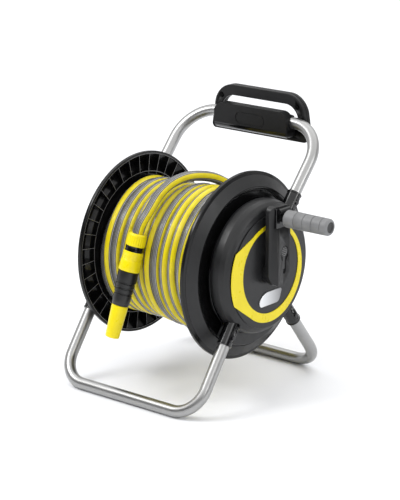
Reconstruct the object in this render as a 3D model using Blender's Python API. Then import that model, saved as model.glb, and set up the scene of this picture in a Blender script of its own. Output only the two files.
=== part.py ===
"""Free-standing garden hose reel: a bent-tube frame, a hand-cranked drum and a wound hose.

Metres, +Z up. Everything is laid out around the middle of the drum's axle: X runs along the
axle towards the crank, Y towards the back of the reel and Z up. The parent empties then stand
the reel on the floor, with the origin under the middle of the hard parts' box.
"""
import math

import bmesh
import bpy
from mathutils import Matrix, Vector

MM = 0.001
GAP = 0.3                      # running gap between pieces, mm like every length below

# Driving dimensions
AXLE_HEIGHT = 219.0
TUBE_R, TUBE_WALL, TUBE_SIDES = 10.0, 1.5, 12
TUBE_FLAT = TUBE_R * math.cos(math.pi / TUBE_SIDES)    # from a tube's middle to its lowest facet
TUBE_X = 146.8                 # plane of the tube ends, each side of the drum
FRONT_BEND, REAR_BEND, CARRY_BEND = 47.0, 56.0, 66.0
FRONT_BAR_Y, REAR_BAR_Y = -165.4, 170.0
CARRY_BAR_Y, CARRY_BAR_Z = 171.7, 204.5
FLANGE_R, RIBS = 156.7, 18
CORE_R = 63.5
WINDING_R, WINDING_HALF = 116.5, 115.4
HOSE_R = 8.75
CRANK_RADIUS = 94.5
FOLD_X = 206.0                 # pin that the grip folds about
GRIP_R, GRIP_END = 14.0, 287.0
SLIDER_Y, SLIDER_Z, SLIDER_TRAVEL = 7.0, 36.0, 6.0
COVER_RISE = 5.0               # middle of the cover on the crank's side, above the axle
INLET_END = -188.0
HANDLE_BACK = 193.5

FRONT_REACH = FRONT_BAR_Y - TUBE_R
ORIGIN_X = -(INLET_END + GRIP_END) / 2
ORIGIN_Y = -(FRONT_REACH + HANDLE_BACK) / 2

# Each leg pair: where its line crosses the axle's height, and its corner below or above
LEGS = {
    "front": ((-17.5, 0.0), (FRONT_BAR_Y, TUBE_FLAT - AXLE_HEIGHT), FRONT_BEND),
    "rear": ((4.0, 0.0), (REAR_BAR_Y, TUBE_FLAT - AXLE_HEIGHT), REAR_BEND),
    "upper": ((-5.5, 0.0), (CARRY_BAR_Y, CARRY_BAR_Z), CARRY_BEND),
}
TUBE_START, SOCKET_START = 78.0, 66.0
SOCKET_REACH = 142.0           # radius from the axle at which the sockets end
BUTTON_BACK = 16.0             # from a socket's end back to its snap button
POST_R_AT = 85.0
LOOP_SCREW, PLATE_SCREW = (82.0, 231.0), (55.0, 188.5)
POST_ANGLES = (142.0, 269.0, 1.0)

# Nozzle: a straight line from the hose nut down to the tip
NOZZLE_TOP = Vector((-8.5, -123.6, 58.8))
NOZZLE_END = Vector((-28.1, -168.3, -111.2))

# Route of the hose's free end over the wound turns: along the axle, degrees from the top
# towards the front, radius
TAIL_ROUTE = (
    (96, -130, 126.0), (84, -114, 128.0), (69, -97, 129.5), (52, -78, 130.5), (36, -60, 131.0),
    (24, -45, 130.8), (14, -33, 130.6), (5, -19, 131.0), (-3, 0, 131.6), (-7, 17, 133.6),
    (-6, 33, 136.4), (-3.5, 49, 138.6),
)

BLACK = (0.012, 0.012, 0.013)
DARK_GREY = (0.052, 0.053, 0.056)
MID_GREY = (0.27, 0.275, 0.28)
HOSE_GREY = (0.13, 0.13, 0.135)
STEEL = (0.62, 0.62, 0.61)
YELLOW = (0.86, 0.70, 0.02)
WHITE_METAL = (0.72, 0.73, 0.74)


# ---------------------------------------------------------------- materials and objects
def material(name, colour, roughness, metallic=0.0):
    found = bpy.data.materials.get(name)
    if found:
        return found
    made = bpy.data.materials.new(name)
    made.use_nodes = True
    shader = made.node_tree.nodes["Principled BSDF"]
    shader.inputs["Base Color"].default_value = (*colour, 1.0)
    shader.inputs["Roughness"].default_value = roughness
    shader.inputs["Metallic"].default_value = metallic
    return made


FINISHES = {
    "frame_tube": (STEEL, 0.3, 1.0),
    "hub_plastic": (DARK_GREY, 0.45),
    "black_plastic": (BLACK, 0.35),
    "gloss_black": (BLACK, 0.12),
    "drum_plastic": (BLACK, 0.25),
    "ring_yellow": (YELLOW, 0.4),
    "badge_silver": (WHITE_METAL, 0.3, 0.8),
    "grip_grey": (MID_GREY, 0.6),
    "hose": (HOSE_GREY, 0.5),
    "yellow_plastic": (YELLOW, 0.35),
    "steel": (STEEL, 0.25, 1.0),
    "rubber": (BLACK, 0.8),
    "bush_white": ((0.6, 0.6, 0.58), 0.5),
}


def empty(name, place, parent=None):
    """Parent empty; below the first one its place is in millimetres from the axle's centre."""
    made = bpy.data.objects.new(name, None)
    made.empty_display_size = 0.02
    made.location = (Vector(place) - offset_of(parent)) * MM
    made.parent = parent
    bpy.context.collection.objects.link(made)
    return made


def offset_of(parent):
    """Where a parent empty stands, in millimetres from the axle's centre."""
    place = Vector()
    while parent and parent.parent:
        place += parent.location / MM
        parent = parent.parent
    return place


def finish(name, mesh_builder, finish_name=None, parent=None, pivot=(0, 0, 0), sharp=35):
    """Turn a bmesh in millimetres into an object whose origin is its pivot."""
    bmesh.ops.recalc_face_normals(mesh_builder, faces=mesh_builder.faces)
    shift = Matrix.Scale(MM, 4) @ Matrix.Translation(-Vector(pivot))
    bmesh.ops.transform(mesh_builder, matrix=shift, verts=mesh_builder.verts)
    mesh = bpy.data.meshes.new(name)
    mesh_builder.to_mesh(mesh)
    mesh_builder.free()
    mesh.shade_smooth()
    mesh.set_sharp_from_angle(angle=math.radians(sharp))
    made = bpy.data.objects.new(name, mesh)
    made.location = (Vector(pivot) - offset_of(parent)) * MM
    made.parent = parent
    bpy.context.collection.objects.link(made)
    if finish_name:
        mesh.materials.append(material(finish_name, *FINISHES[finish_name]))
    return made


def boolean(target, tool, operation="DIFFERENCE"):
    """Cut or join with a helper shape, which stays in the file as a hidden wire guide."""
    step = target.modifiers.new(operation.title(), "BOOLEAN")
    step.operation = operation
    step.solver = "EXACT"
    step.object = tool
    tool.hide_render = True
    tool.display_type = "WIRE"
    tool.parent = target.parent
    tool.location = -offset_of(target.parent) * MM
    return target


def soften(target, width, segments=2, angle=50):
    """Round the sharp edges of a piece."""
    step = target.modifiers.new("Soften", "BEVEL")
    step.width = width * MM
    step.segments = segments
    step.limit_method = "ANGLE"
    step.angle_limit = math.radians(angle)
    return target


# ---------------------------------------------------------------- shapes, in millimetres
def turned(outline, steps=48):
    """Revolve an outline of (along, radius) points about the X axis."""
    shape = bmesh.new()
    corners = [shape.verts.new((along, 0, radius)) for along, radius in outline]
    sides = [shape.edges.new(pair) for pair in zip(corners, corners[1:])]
    if all(radius > 0 for _, radius in outline):
        sides.append(shape.edges.new((corners[-1], corners[0])))
    bmesh.ops.spin(shape, geom=corners + sides, cent=(0, 0, 0), axis=(1, 0, 0),
                   angle=math.tau, steps=steps, use_merge=True)
    bmesh.ops.remove_doubles(shape, verts=shape.verts, dist=1e-4)
    return shape


def moved(shape, matrix):
    bmesh.ops.transform(shape, matrix=matrix, verts=shape.verts)
    return shape


def along(start, direction):
    """Matrix that lays the X axis along a direction from a start point."""
    turn = Vector((1, 0, 0)).rotation_difference(Vector(direction)).to_matrix().to_4x4()
    return Matrix.Translation(Vector(start)) @ turn


def rod(start, end, radius, steps=24):
    """Plain cylinder between two points."""
    start, end = Vector(start), Vector(end)
    shape = bmesh.new()
    bmesh.ops.create_cone(shape, cap_ends=True, segments=steps, radius1=radius, radius2=radius,
                          depth=(end - start).length)
    turn = Vector((0, 0, 1)).rotation_difference(end - start).to_matrix().to_4x4()
    return moved(shape, Matrix.Translation((start + end) / 2) @ turn)


def prism(outline, low, high, axis="X"):
    """Extrude a flat outline along X (outline in Y, Z) or along Y (outline in X, Z)."""
    shape = bmesh.new()
    place = {"X": lambda a, b: (low, a, b), "Y": lambda a, b: (a, low, b)}[axis]
    face = shape.faces.new([shape.verts.new(place(a, b)) for a, b in outline])
    pushed = bmesh.ops.extrude_face_region(shape, geom=[face])
    rise = {"X": (high - low, 0, 0), "Y": (0, high - low, 0)}[axis]
    verts = [item for item in pushed["geom"] if isinstance(item, bmesh.types.BMVert)]
    bmesh.ops.translate(shape, vec=rise, verts=verts)
    return shape


def box(low, high):
    shape = bmesh.new()
    bmesh.ops.create_cube(shape, size=1.0)
    size = [b - a for a, b in zip(low, high)]
    middle = [(a + b) / 2 for a, b in zip(low, high)]
    return moved(shape, Matrix.Translation(middle) @ Matrix.Diagonal((*size, 1)))


def arc(centre, radius, start, end, steps):
    """Points of an arc, from a start angle to an end angle in degrees."""
    turns = [math.radians(start + (end - start) * k / steps) for k in range(steps + 1)]
    return [(centre[0] + radius * math.cos(t), centre[1] + radius * math.sin(t)) for t in turns]


def rounded_box(left, right, bottom, top, radius_low, radius_high, steps=5):
    """Outline of a rectangle with one radius at its lower and one at its upper corners."""
    low, high = radius_low, radius_high
    return (arc((right - low, bottom + low), low, -90, 0, steps)
            + arc((right - high, top - high), high, 0, 90, steps)
            + arc((left + high, top - high), high, 90, 180, steps)
            + arc((left + low, bottom + low), low, 180, 270, steps))


def fillet_path(corners, radius, steps=5):
    """Centreline through corner points, each inner corner rounded to a bend radius."""
    path = [Vector(corners[0])]
    for before, here, after in zip(corners, corners[1:], corners[2:]):
        before, here, after = Vector(before), Vector(here), Vector(after)
        back, on = (before - here).normalized(), (after - here).normalized()
        half = back.angle(on) / 2
        centre = here + (back + on).normalized() * radius / math.sin(half)
        first = here + back * radius / math.tan(half) - centre
        last = here + on * radius / math.tan(half) - centre
        path += [centre + radius * first.slerp(last, k / steps) for k in range(steps + 1)]
    return path + [Vector(corners[-1])]


def pipe(path, outer, inner, sides=TUBE_SIDES):
    """Hollow tube along a path that lies in one plane, with a facet turned to face down."""
    shape = bmesh.new()
    flat = max(((b - a).cross(c - b) for a, b, c in zip(path, path[1:], path[2:])),
               key=lambda normal: normal.length).normalized()
    half = len(path) // 2
    middle = (path[half] - path[half - 1]).normalized().cross(flat)
    roll = math.atan2(-flat.z, -middle.z)
    walls = []
    for radius in (outer, inner):
        rings = []
        for k, point in enumerate(path):
            ahead = path[min(k + 1, len(path) - 1)] - point
            behind = point - path[max(k - 1, 0)]
            course = (ahead.normalized() + behind.normalized()).normalized()
            side = course.cross(flat).normalized()
            ring = []
            for n in range(sides):
                turn = roll + math.tau * (n + 0.5) / sides
                ring.append(shape.verts.new(
                    point + radius * (math.cos(turn) * side + math.sin(turn) * flat)))
            rings.append(ring)
        for one, two in zip(rings, rings[1:]):
            for n in range(sides):
                m = (n + 1) % sides
                shape.faces.new((one[n], one[m], two[m], two[n]))
        walls.append(rings)
    for end in (0, -1):
        one, two = walls[0][end], walls[1][end]
        for n in range(sides):
            m = (n + 1) % sides
            shape.faces.new((one[n], one[m], two[m], two[n]))
    return shape


# ---------------------------------------------------------------- frame of bent tubes
def leg_point(leg, distance, side):
    """A point on a leg's line, measured from where the line crosses the axle's height."""
    aim, corner, _ = LEGS[leg]
    course = Vector((corner[0] - aim[0], corner[1] - aim[1])).normalized()
    return Vector((side * TUBE_X, aim[0] + course.x * distance, aim[1] + course.y * distance))


def reach(leg, radius):
    """Distance along a leg's line at which it is a given radius from the axle."""
    aim, corner, _ = LEGS[leg]
    aim = Vector(aim)
    toward = aim.dot((Vector(corner) - aim).normalized())
    return math.sqrt(toward ** 2 - aim.length_squared + radius ** 2) - toward


def button_place(leg, side):
    return leg_point(leg, reach(leg, SOCKET_REACH) - BUTTON_BACK, side)


def make_tube(name, leg, parent):
    _, corner, bend = LEGS[leg]
    corners = [leg_point(leg, TUBE_START, 1), (TUBE_X, *corner), (-TUBE_X, *corner),
               leg_point(leg, TUBE_START, -1)]
    tube = finish(name, pipe(fillet_path(corners, bend), TUBE_R, TUBE_R - TUBE_WALL),
                  "frame_tube", parent)
    for side in (1, -1):
        at = button_place(leg, side)
        hole = rod(at, at + Vector((side * 30, 0, 0)), 4.3, 10)
        boolean(tube, finish(f"guide_{name}_{side}", hole))
    return tube


def make_snap_button(leg, side, parent):
    """Sprung button with a wide base inside the tube, standing out through the sleeve."""
    at = button_place(leg, side)
    outline = [(2.0, 0), (2.0, 5.6), (4.4, 5.6), (4.4, 3.9), (13.6, 3.9), (14.4, 3.1), (14.4, 0)]
    shape = moved(turned(outline, 10), along(at, (side, 0, 0)))
    name = f"snap_button_{leg}_{'right' if side > 0 else 'left'}"
    return finish(name, shape, "black_plastic", parent, pivot=at)


# ---------------------------------------------------------------- hubs at each side
def flip(outline, side):
    return [(side * x, radius) for x, radius in outline]


def hub_frame(side, parent):
    """Inner half of a hub: back plate, bearing boss and the three tube sockets."""
    name = "hub_frame_right" if side > 0 else "hub_frame_left"
    plate = [(127, 18.3), (127, 109), (130.5, 109), (130.5, 23), (158, 23), (158, 18.3)]
    hub = finish(name, turned(flip(plate, side), 36), "black_plastic", parent)
    for leg in LEGS:
        start = leg_point(leg, SOCKET_START, side)
        end = leg_point(leg, reach(leg, SOCKET_REACH), side)
        course = (end - start).normalized()
        socket = rod(start, end, 12.0, 14)
        boolean(hub, finish(f"guide_socket_{leg}_{side}", socket), "UNION")
        across = course.cross(Vector((1, 0, 0)))
        web = box((0, -5, 0), (reach(leg, 101) - 42, 5, 17))
        turn = Matrix((course, across, Vector((side, 0, 0)))).transposed().to_4x4()
        foot = leg_point(leg, 42, side)
        foot.x = side * 128.5
        boolean(hub, finish(f"guide_web_{leg}_{side}", moved(web, Matrix.Translation(foot) @ turn)),
                "UNION")
    for leg in LEGS:
        bore = rod(leg_point(leg, 72, side), leg_point(leg, 170, side), TUBE_R + GAP, 14)
        boolean(hub, finish(f"guide_bore_{leg}_{side}", bore))
        at = button_place(leg, side)
        hole = rod(at, at + Vector((side * 30, 0, 0)), 4.3, 10)
        boolean(hub, finish(f"guide_button_{leg}_{side}", hole))
    front = rod((side * 158.2, 0, 0), (side * 190, 0, 0), 101, 44)
    boolean(hub, finish(f"guide_front_{side}", front))
    for angle in POST_ANGLES:
        boolean(hub, finish(f"guide_screw_hole_{angle:.0f}_{side}", screw_hole(angle, side, 120, 2.2)))
    return hub


def post_place(angle, x):
    turn = math.radians(angle)
    return Vector((x, POST_R_AT * math.cos(turn), POST_R_AT * math.sin(turn)))


def screw_hole(angle, side, start, radius):
    return rod(post_place(angle, side * start), post_place(angle, side * 150), radius, 8)


def hub_cover(side, parent):
    """Outer half of a hub, notched for the sockets, with three screw posts.

    The crank's side has a drum-shaped cover round a middle above the axle, and the other
    side a lower cone round the axle itself.
    """
    if side > 0:
        skin = [(131, 109.0), (134.5, 110.8), (138, 111.8), (150, 111.4), (157.5, 108.2),
                (161.6, 103.2), (163.8, 99.5), (163.8, 5), (162, 5), (162, 98.6), (160.2, 101.6),
                (156.4, 106.2), (149.6, 109.0), (138.5, 109.4), (134, 108.6)]
        shape = moved(turned(skin, 36), Matrix.Translation((0, 0, COVER_RISE)))
        cover = finish("hub_cover_right", shape, "hub_plastic", parent)
        boolean(cover, finish("guide_cover_hole", rod((155, 0, 0), (170, 0, 0), 15, 28)))
        post_end, notch_reach = 162.4, 90
    else:
        skin = [(-131, 109.6), (-134.5, 111), (-144, 110.6), (-149, 107), (-156, 97.5),
                (-161.5, 88.5), (-163, 86), (-163, 15), (-161.2, 15), (-161.2, 84.8),
                (-154.6, 95.9), (-147.8, 105.2), (-143.6, 108), (-138.5, 108.4), (-134, 108.8)]
        cover = finish("hub_cover_left", turned(skin, 36), "hub_plastic", parent)
        post_end, notch_reach = 159.8, 78
    for angle in POST_ANGLES:
        post = rod(post_place(angle, side * 130.8), post_place(angle, side * post_end), 5, 10)
        boolean(cover, finish(f"guide_post_{angle:.0f}_{side}", post), "UNION")
    for angle in POST_ANGLES:
        pilot = screw_hole(angle, side, 125, 2.2)
        boolean(cover, finish(f"guide_pilot_{angle:.0f}_{side}", pilot))
    for leg in LEGS:
        inner = leg_point(leg, reach(leg, notch_reach), side)
        notch = rod(inner, leg_point(leg, 150, side), 12.4, 14)
        boolean(cover, finish(f"guide_notch_{leg}_{side}", notch))
    return cover


def cover_screw(number, angle, side, parent):
    base = post_place(angle, side * 124.3)
    outline = [(0, 0), (0, 3.8), (2.3, 3.8), (2.3, 1.9), (22, 1.9), (23.5, 0.6), (23.5, 0)]
    shape = moved(turned(outline, 8), along(base, (side, 0, 0)))
    name = f"cover_screw_{'right' if side > 0 else 'left'}_{number}"
    return finish(name, shape, "steel", parent)


def bearing_bush(side, parent):
    outline = [(123.6, 14.0), (123.6, 22), (126.6, 22), (126.6, 18), (157.8, 18), (157.8, 14.0)]
    name = "bearing_bush_right" if side > 0 else "bearing_bush_left"
    return finish(name, turned(flip(outline, side), 18), "bush_white", parent)


# ---------------------------------------------------------------- carrying handle
def tube_channel(name):
    """Cutter for the half channel that the carrying tube lies in."""
    shape = rod((-120, CARRY_BAR_Y, CARRY_BAR_Z), (120, CARRY_BAR_Y, CARRY_BAR_Z), TUBE_R + GAP, 16)
    return finish(name, shape)


def bore(name, x, z, near, far, radius):
    """Cutter for a screw hole through the handle, from front to back."""
    return finish(name, rod((x, near, z), (x, far, z), radius, 10))


def loop_outline():
    """Outside of the carrying loop: wide round shoulders over sides that flare to the foot."""
    return (arc((97.5, 179), 8, -90, 11.4, 5) + arc((58, 213), 40, 11.4, 90, 6)
            + arc((-58, 213), 40, 90, 168.6, 6) + arc((-97.5, 179), 8, 168.6, 270, 5))


def handle_shells(parent):
    """Front plate and rear shell clamped round the tube, and the back half of the loop."""
    plate = prism(rounded_box(-78.7, 78.7, 179, 223.8, 5, 18, 4), 152.8, 171.5, "Y")
    front = finish("handle_front_shell", plate, "black_plastic", parent)
    recess = prism(rounded_box(-31, 31, 192, 213, 10.4, 10.4), 150, 153.8, "Y")
    boolean(front, finish("guide_plate_recess", recess))
    boolean(front, tube_channel("guide_channel_front"))
    window = rounded_box(-84, 84, 196, 234.5, 4, 28, 5)
    rear = finish("handle_rear_shell", prism(loop_outline(), 177, 185, "Y"), "black_plastic",
                  parent)
    back = finish("handle_back_cover", prism(loop_outline(), 185 + GAP, HANDLE_BACK, "Y"),
                  "black_plastic", parent)
    for shell in (rear, back):
        cutter = prism(window, 170, 200, "Y")
        boolean(shell, finish(f"guide_window_{shell.name}", cutter))
    clamp = prism(rounded_box(-78.7, 78.7, 179, 217.5, 5, 6, 2), 171.9, 184.2, "Y")
    boolean(rear, finish("guide_clamp", clamp), "UNION")
    boolean(rear, tube_channel("guide_channel_rear"))
    for side in (-1, 1):
        ease = rod((side * 80, CARRY_BAR_Y, CARRY_BAR_Z), (side * 108, 167.9, 200.1), 11.1, 16)
        boolean(rear, finish(f"guide_channel_end_{side}", ease))
    for x in (-LOOP_SCREW[0], LOOP_SCREW[0]):
        z = LOOP_SCREW[1]
        boolean(rear, bore(f"guide_loop_head_{x}", x, z, 170, 179.8, 4.2))
        boolean(rear, bore(f"guide_loop_shank_{x}", x, z, 170, 190, 2.2))
        boolean(back, bore(f"guide_loop_pilot_{x}", x, z, 170, 190, 2.2))
    for x in (-PLATE_SCREW[0], PLATE_SCREW[0]):
        z = PLATE_SCREW[1]
        boolean(front, bore(f"guide_plate_pilot_{x}", x, z, 154.5, 210, 2.2))
        boolean(rear, bore(f"guide_plate_shank_{x}", x, z, 154.5, 210, 2.2))
        boolean(rear, bore(f"guide_plate_head_{x}", x, z, 177.2, 210, 4.2))
        boolean(back, bore(f"guide_plate_access_{x}", x, z, 177.2, 210, 4.2))


def handle_screws(parent):
    short = [(0, 0), (0, 3.8), (2.3, 3.8), (2.3, 1.9), (12.2, 1.9), (12.2, 0)]
    deep = [(0, 0), (0, 3.8), (2.3, 3.8), (2.3, 1.9), (24.8, 1.9), (24.8, 0)]
    for side in (-1, 1):
        word = "right" if side > 0 else "left"
        place = along((side * LOOP_SCREW[0], 177.2, LOOP_SCREW[1]), (0, 1, 0))
        finish(f"loop_screw_{word}", moved(turned(short, 8), place), "steel", parent)
        place = along((side * PLATE_SCREW[0], 179.8, PLATE_SCREW[1]), (0, -1, 0))
        finish(f"plate_screw_{word}", moved(turned(deep, 8), place), "steel", parent)


# ---------------------------------------------------------------- drum
def flange(side, parent):
    """Ribbed end plate of the drum: flat web, conical shoulder and a thin rim."""
    name = "drum_flange_right" if side > 0 else "drum_flange_left"
    outline = [(108.5, 14.3), (119, 14.3), (119, 124), (125, 130.5), (125, 132),
               (115, 150.5), (114, FLANGE_R), (108, FLANGE_R), (108, 153.2), (111, 152.4),
               (121.6, 132.2), (116, 125.5), (116, 22), (108.5, 22)]
    plate = finish(name, turned(flip(outline, side), 36), "drum_plastic", parent)
    ribs = bmesh.new()
    section = [(108.3, 117.2), (108.3, 152.9), (112.6, 151.6), (123.2, 132.4), (117.5, 124.5),
               (117.5, 117.2)]
    half = 0.7
    for k in range(RIBS):
        turn = Matrix.Rotation(math.tau * (k + 0.15) / RIBS, 4, "X")
        rims = []
        for offset in (-half, half):
            rims.append([ribs.verts.new(turn @ Vector((side * x, offset, r))) for x, r in section])
        ribs.faces.new(rims[0])
        ribs.faces.new(reversed(rims[1]))
        for n in range(len(section)):
            m = (n + 1) % len(section)
            ribs.faces.new((rims[0][n], rims[1][n], rims[1][m], rims[0][m]))
    return boolean(plate, finish(f"guide_ribs_{side}", ribs), "UNION")


def drum_core(parent):
    """Barrel that the hose is wound on, with a hole for the outlet elbow."""
    core = finish("drum_core", turned([(-115.7, 60.5), (-115.7, CORE_R), (115.7, CORE_R),
                                       (115.7, 60.5)], 32), "drum_plastic", parent)
    boolean(core, finish("guide_outlet", rod((-84, 0, -50), (-84, 0, -75), 9.4, 20)))
    return core


def crank_shaft(parent):
    shaft = [(105, 0), (105, 13.7), (172, 13.7), (172, 0)]
    finish("crank_shaft", turned(shaft, 28), "steel", parent)
    ring = [(103.2, 4), (103.2, 17.5), (104.7, 17.5), (104.7, 4)]
    finish("shaft_retainer", turned(ring, 18), "steel", parent)


def water_path(parent):
    """Hollow spindle that the water enters by, and the elbow that leads it to the hose."""
    spindle = [(-108, 8), (-108, 13.7), (-168.2, 13.7), (-168.2, 11.8), (-171.4, 11.8),
               (-171.4, 13.7), (-178, 13.7), (-178, 8)]
    finish("water_spindle", turned(spindle, 18), "black_plastic", parent)
    seal = [(-168.6, 12.2), (-168.6, 13.75), (-171.0, 13.75), (-171.0, 12.2)]
    finish("inlet_o_ring", turned(seal, 18), "rubber", parent)
    path = fillet_path([(-107.7, 0, 0), (-84, 0, 0), (-84, 0, -63.0)], 16, 4)
    finish("outlet_elbow", pipe(path, 8.9, 6.4), "black_plastic", parent)


def inlet(parent):
    """Swivelling tap connector outside the left hub: a cap on the spindle with a side nipple."""
    cap = [(-164.6, 14.15), (-164.6, 19), (-184, 19), (INLET_END, 15), (INLET_END, 0)]
    cap += [(-181, 0), (-181, 14.15)]
    pivot = (-175, 0, 0)
    swivel = finish("inlet_swivel", turned_open(cap, 20), "black_plastic", parent, pivot=pivot)
    course = Vector((0, 0, -1))
    nipple = [(14.6, 0), (14.6, 10.5), (36, 10.5), (38, 8.2), (50, 8.2), (51, 7.2), (54, 7.2),
              (55, 8.2), (61, 8.2), (61, 0)]
    stub = moved(turned(nipple, 14), along((-174.9, 0, 0), course))
    boolean(swivel, finish("guide_nipple", stub), "UNION")
    water = rod(Vector((-174.9, 0, 0)), Vector((-174.9, 0, 0)) + course * 70, 5.2, 12)
    boolean(swivel, finish("guide_nipple_bore", water))
    return swivel


def turned_open(outline, steps):
    """Revolve an outline that touches the axis at two places in its middle."""
    shape = bmesh.new()
    corners = [shape.verts.new((x, 0, radius)) for x, radius in outline]
    sides = [shape.edges.new((a, b)) for a, b in zip(corners, corners[1:] + corners[:1])
             if a.co.z > 0 or b.co.z > 0]
    bmesh.ops.spin(shape, geom=corners + sides, cent=(0, 0, 0), axis=(1, 0, 0),
                   angle=math.tau, steps=steps, use_merge=True)
    bmesh.ops.remove_doubles(shape, verts=shape.verts, dist=1e-4)
    return shape


# ---------------------------------------------------------------- crank
def ring_outline():
    """Yellow face ring: a circle with a wedge to one side that meets the face's edge."""
    return arc((2.7, -3.4), 82.9, -128, 123, 32) + arc((0, 0), 98.5, 151.5, 203.5, 6)


def crank_face(parent):
    disc = [(164.1, 14.2), (164.1, 94.5), (165.5, 94.5), (165.5, 14.2)]
    finish("crank_disc", turned(disc, 40), "hub_plastic", parent)
    ring = finish("face_ring", prism(ring_outline(), 165.8, 166.9), "ring_yellow", parent)
    hole = moved(rod((160, 0, 0), (175, 0, 0), 72.0, 44), Matrix.Translation((0, 3.2, 1.2)))
    boolean(ring, finish("guide_ring_hole", hole))
    badge = [(-23, -57), (24, -57), (32, -46), (32, -35), (-15, -35), (-27, -46)]
    soften(finish("badge_plate", prism(badge, 165.8, 167.4), "badge_silver", parent), 0.6, 1)


def arm_outline(inset=0.0, top=114.0):
    half = 21.3 - inset
    corner = 12.0
    return (arc((0, 0), half, 180, 360, 14)
            + arc((half - corner, top - inset - corner), corner, 0, 90, 5)
            + arc((-half + corner, top - inset - corner), corner, 90, 180, 5))


def obround(y, low, high, radius):
    """Outline of a slot between two heights."""
    return arc((y, high), radius, 0, 180, 8) + arc((y, low), radius, 180, 360, 8)


def crank_arm(parent):
    """Hollow arm with a boss over the shaft, a seat for the grip's bracket and a thumb slot."""
    arm = finish("crank_arm", prism(arm_outline(), 173.6, 191.2), "hub_plastic", parent)
    soften(arm, 2.2, 1)
    boolean(arm, finish("guide_arm_pocket", prism(arm_outline(3.0, 76.0), 170, 188.0)))
    boolean(arm, finish("guide_arm_boss", rod((165.8, 0, 0), (184, 0, 0), 19.5, 28)), "UNION")
    boolean(arm, finish("guide_shaft_bore", rod((160, 0, 0), (172.4, 0, 0), 14.1, 24)))
    head = prism(obround(SLIDER_Y, SLIDER_Z - SLIDER_TRAVEL, SLIDER_Z, 9.4), 186, 196)
    boolean(arm, finish("guide_slot_head", head))
    stem = prism(obround(SLIDER_Y, 9.5 - SLIDER_TRAVEL, SLIDER_Z, 3.9), 186, 196)
    boolean(arm, finish("guide_slot_stem", stem))
    boolean(arm, finish("guide_bracket_seat", box((186.8, -15.8, 78), (196, 15.8, 112))))
    lid = finish("arm_back_cover", prism(arm_outline(3.3, 76.0), 173.6, 175.6), "hub_plastic",
                 parent)
    boolean(lid, finish("guide_lid_hole", rod((170, 0, 0), (180, 0, 0), 19.8, 28)))


def arm_slider(parent):
    """Thumb slider: a round head and a stem in the arm's slot, on a plate behind its wall."""
    pivot = (189, SLIDER_Y, SLIDER_Z)
    head = prism(obround(SLIDER_Y, SLIDER_Z - 0.01, SLIDER_Z, 9.0), 185.6, 190.6)
    slider = finish("arm_slider", head, "gloss_black", parent, pivot=pivot)
    stem = prism(obround(SLIDER_Y, 9.5, SLIDER_Z, 3.5), 185.9, 190.2)
    boolean(slider, finish("guide_slider_stem", stem), "UNION")
    plate = box((185.2, SLIDER_Y - 10.8, 24.5), (187.7, SLIDER_Y + 10.8, 48))
    return boolean(slider, finish("guide_slider_plate", plate), "UNION")


def fold_bracket(parent):
    """Black hinge block let into the arm: base, stop ledge and the tongue for the pin."""
    bracket = finish("fold_bracket", box((187.1, -15.5, 78.3), (191.0, 15.5, 111.7)),
                     "gloss_black", parent)
    tongue = arc((FOLD_X, CRANK_RADIUS), 6, -90, 90, 10)
    tongue += [(189, CRANK_RADIUS + 6), (189, CRANK_RADIUS - 6)]
    boolean(bracket, finish("guide_tongue", prism(tongue, -4.7, 4.7, "Y")), "UNION")
    ledge = rounded_box(189, 198.4, 103.2, 111.7, 1, 4, 3)
    boolean(bracket, finish("guide_ledge", prism(ledge, -13.5, 13.5, "Y")), "UNION")
    hole = rod((FOLD_X, -20, CRANK_RADIUS), (FOLD_X, 20, CRANK_RADIUS), 2.5, 16)
    return boolean(bracket, finish("guide_pin_hole", hole))


def folding_grip(fold, spin):
    """Collar on the fold pin, the spindle it carries and the turning grip on the spindle."""
    pin = (FOLD_X, 0, CRANK_RADIUS)
    level = Matrix.Translation((0, 0, CRANK_RADIUS))
    shell = [(199, 0), (199, 10), (202.5, GRIP_R), (222, GRIP_R), (222, 0)]
    collar = finish("grip_collar", moved(turned(shell, 18), level), "grip_grey", fold, pivot=pin)
    slot = box((195, -5, CRANK_RADIUS - 20), (213, 5, CRANK_RADIUS + 7.2))
    boolean(collar, finish("guide_collar_slot", slot))
    hole = rod((FOLD_X, -20, CRANK_RADIUS), (FOLD_X, 20, CRANK_RADIUS), 2.5, 16)
    boolean(collar, finish("guide_collar_pin", hole))
    socket = rod((214, 0, CRANK_RADIUS), (225, 0, CRANK_RADIUS), 4.3, 20)
    boolean(collar, finish("guide_collar_bore", socket))
    spindle = [(214.4, 0), (214.4, 4), (279.6, 4), (279.6, 7.2), (282, 7.2), (282, 0)]
    finish("grip_spindle", moved(turned(spindle, 12), level), "steel", fold, pivot=pin)
    pin_rod = rod((FOLD_X, -12.6, CRANK_RADIUS), (FOLD_X, 12.6, CRANK_RADIUS), 2.2, 16)
    finish("fold_pin", pin_rod, "steel", fold, pivot=pin)
    skin = [(222.4, 4.4), (222.4, GRIP_R - 0.6), (223.2, GRIP_R)]
    for x in (240, 257, 274):
        skin += [(x - 0.9, GRIP_R), (x, GRIP_R - 0.9), (x + 0.9, GRIP_R)]
    skin += [(283, GRIP_R), (GRIP_END, 10.6), (GRIP_END, 9), (279.2, 9), (279.2, 4.4)]
    middle = (250, 0, CRANK_RADIUS)
    finish("crank_grip", moved(turned(skin, 18), level), "grip_grey", spin, pivot=middle)
    cap = [(282.6, 0), (282.6, 8.7), (286.0, 8.7), (286.5, 8.2), (286.5, 0)]
    finish("grip_end_cap", moved(turned(cap, 16), level), "black_plastic", spin, pivot=middle)


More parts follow.
